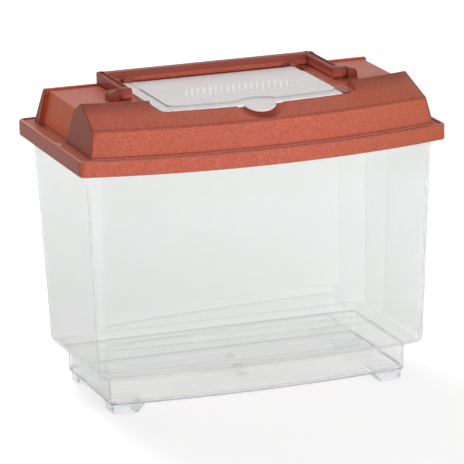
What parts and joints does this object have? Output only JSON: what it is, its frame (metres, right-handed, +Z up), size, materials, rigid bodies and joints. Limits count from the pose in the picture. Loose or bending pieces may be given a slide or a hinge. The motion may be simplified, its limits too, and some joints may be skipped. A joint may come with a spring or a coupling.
{
  "type": "plastic pet keeper",
  "caption": "Plastic pet keeper: clear tub on a stepped base with corner feet, bowed lift-off lid with vents, hinged clear hatch and a fold-down carrying handle.",
  "frame": {"origin": "on the floor under the feet, in the middle of the skirt's width and depth", "axes": "+X to the keeper's left as it faces you, +Y to its back, +Z up; the bowed front faces -Y"},
  "size_m": [0.36, 0.2258, 0.2981],
  "materials": {
    "clear_plastic": "clear, polished mould",
    "lid_plastic": "fine-grained terracotta moulding with a soft shine",
    "hatch_plastic": "clear, slightly milky",
    "handle_plastic": "fine-grained terracotta moulding with a soft shine"
  },
  "bodies": {
    "tub": {"tub": "clear_plastic"},
    "lid": {"lid": "lid_plastic"},
    "hatch": {"hatch": "hatch_plastic"},
    "handle": {"handle": "handle_plastic"}
  },
  "joints": [
    {"name": "lid_lift", "type": "slide", "parent": "tub", "child": "lid", "axis": [0, 0, 1], "range_m": [0, 0.06]},
    {"name": "hatch_hinge", "type": "hinge", "parent": "lid", "child": "hatch", "pos_m": [0, 0.0673, 0.2901], "axis": [-1, 0, 0], "range_deg": [0, 110]},
    {"name": "handle_pivot", "type": "hinge", "parent": "lid", "child": "handle", "pos_m": [0, 0.0033, 0.2927], "axis": [1, 0, 0], "range_deg": [0, 165]}
  ]
}
